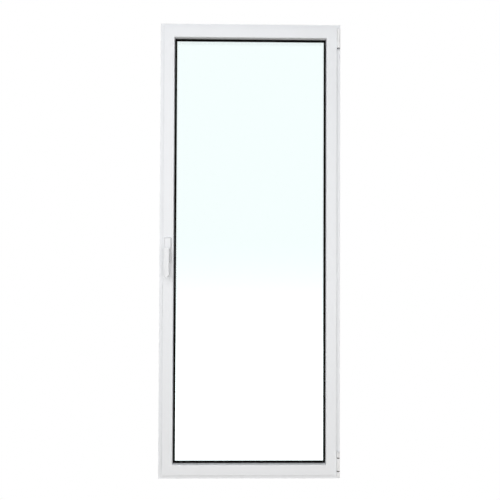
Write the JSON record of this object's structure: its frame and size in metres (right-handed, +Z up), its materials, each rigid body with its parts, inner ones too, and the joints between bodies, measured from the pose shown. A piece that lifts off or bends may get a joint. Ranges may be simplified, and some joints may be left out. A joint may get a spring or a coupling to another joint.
{
  "type": "tilt-and-turn casement window",
  "caption": "Tall single-leaf window: mitred aluminium frame and inward-opening sash, sealed glass unit, long-backplate lever handle, corner hinges.",
  "frame": {"origin": "middle of the frame's bottom face, half way through its depth", "axes": "+Z up along the jambs, +X towards the hinge side, -Y towards the room, +Y to the outside"},
  "size_m": [0.795, 0.118, 2],
  "materials": {
    "white_coating": "white powder coating, fine texture, satin",
    "white_cover": "white powder-coated handle and hinge castings, satin",
    "white_trim": "white moulded caps",
    "black_rubber": "black EPDM, matt",
    "black_polyamide": "glass-filled black polyamide",
    "steel": "zinc-plated steel",
    "zinc_casting": "die-cast zinc alloy",
    "clear_glass": "clear float glass",
    "spacer_metal": "black anodised warm-edge spacer",
    "grey_plastic": "grey acetal"
  },
  "bodies": {
    "frame": {"bottom_hinge_bracket": "white_cover", "bottom_hinge_pin": "steel", "frame_corner_cleats": "zinc_casting", "frame_drain_caps": "white_trim", "frame_fixing_caps": "white_trim", "frame_handle_jamb_inner": "white_coating", "frame_handle_jamb_outer": "white_coating", "frame_head_inner": "white_coating", "frame_head_outer": "white_coating", "frame_hinge_jamb_inner": "white_coating", "frame_hinge_jamb_outer": "white_coating", "frame_sill_inner": "white_coating", "frame_sill_outer": "white_coating", "frame_thermal_breaks": "black_polyamide", "frame_weather_gasket": "black_rubber", "hinge_screws": "steel", "hinge_washers": "black_polyamide", "keep_screws": "steel", "lock_keeps": "steel", "top_hinge_bracket": "white_cover", "top_hinge_pin": "steel"},
    "hinge_swivel": {"hinge_swivel": "white_cover", "tilt_pin": "steel"},
    "stay_arm": {"stay_knuckle": "white_cover", "stay_arm": "steel", "stay_pin": "steel"},
    "handle": {"handle_lever": "white_cover", "handle_spindle": "steel", "drive_pinion": "steel"},
    "stile_rod": {"stile_rod": "steel", "stile_cams": "steel", "drive_rack": "steel"},
    "top_rod": {"top_rod": "steel", "top_cams": "steel"},
    "bottom_rod": {"bottom_rod": "steel", "bottom_cams": "steel"},
    "sash": {"bottom_hinge_shoe": "steel", "corner_drives": "steel", "glass_edge_seal": "black_rubber", "glass_inner_pane": "clear_glass", "glass_outer_pane": "clear_glass", "glass_spacer": "spacer_metal", "glazing_gasket_inner": "black_rubber", "glazing_gasket_outer": "black_rubber", "handle_bush": "grey_plastic", "handle_cover": "white_cover", "handle_plate": "zinc_casting", "handle_screws": "steel", "sash_bottom_rail": "white_coating", "sash_corner_cleats": "zinc_casting", "sash_glass_carrier": "black_polyamide", "sash_handle_stile": "white_coating", "sash_hinge_stile": "white_coating", "sash_outer_bead": "white_coating", "sash_overlap_gasket": "black_rubber", "sash_top_rail": "white_coating", "setting_blocks": "black_polyamide"}
  },
  "joints": [
    {"name": "turn", "type": "hinge", "parent": "frame", "child": "hinge_swivel", "pos_m": [0.3888, -0.0395, 0.0654], "axis": [0, 0, 1], "range_deg": [0, 100]},
    {"name": "tilt", "type": "hinge", "parent": "hinge_swivel", "child": "sash", "pos_m": [0.3545, -0.024, 0.03], "axis": [1, 0, 0], "range_deg": [0, 4.3]},
    {"name": "stay_swing", "type": "hinge", "parent": "hinge_swivel", "child": "stay_arm", "pos_m": [0.3888, -0.0395, 1.91], "axis": [0, 0, 1], "range_deg": [0, 24.2]},
    {"name": "handle_turn", "type": "hinge", "parent": "sash", "child": "handle", "pos_m": [-0.359, -0.06, 0.9975], "axis": [0, -1, 0], "range_deg": [0, 180]},
    {"name": "stile_rod_slide", "type": "slide", "parent": "sash", "child": "stile_rod", "axis": [0, 0, 1], "range_m": [-0.0236, 0]},
    {"name": "top_rod_slide", "type": "slide", "parent": "sash", "child": "top_rod", "axis": [1, 0, 0], "range_m": [-0.0236, 0]},
    {"name": "bottom_rod_slide", "type": "slide", "parent": "sash", "child": "bottom_rod", "axis": [1, 0, 0], "range_m": [0, 0.0236]}
  ],
  "couplings": [
    {"joint": "stay_swing", "follows": "tilt", "ratio": 5.6},
    {"joint": "stile_rod_slide", "follows": "handle_turn", "m_per_rad": -0.0075},
    {"joint": "top_rod_slide", "follows": "handle_turn", "m_per_rad": -0.0075},
    {"joint": "bottom_rod_slide", "follows": "handle_turn", "m_per_rad": 0.0075}
  ]
}
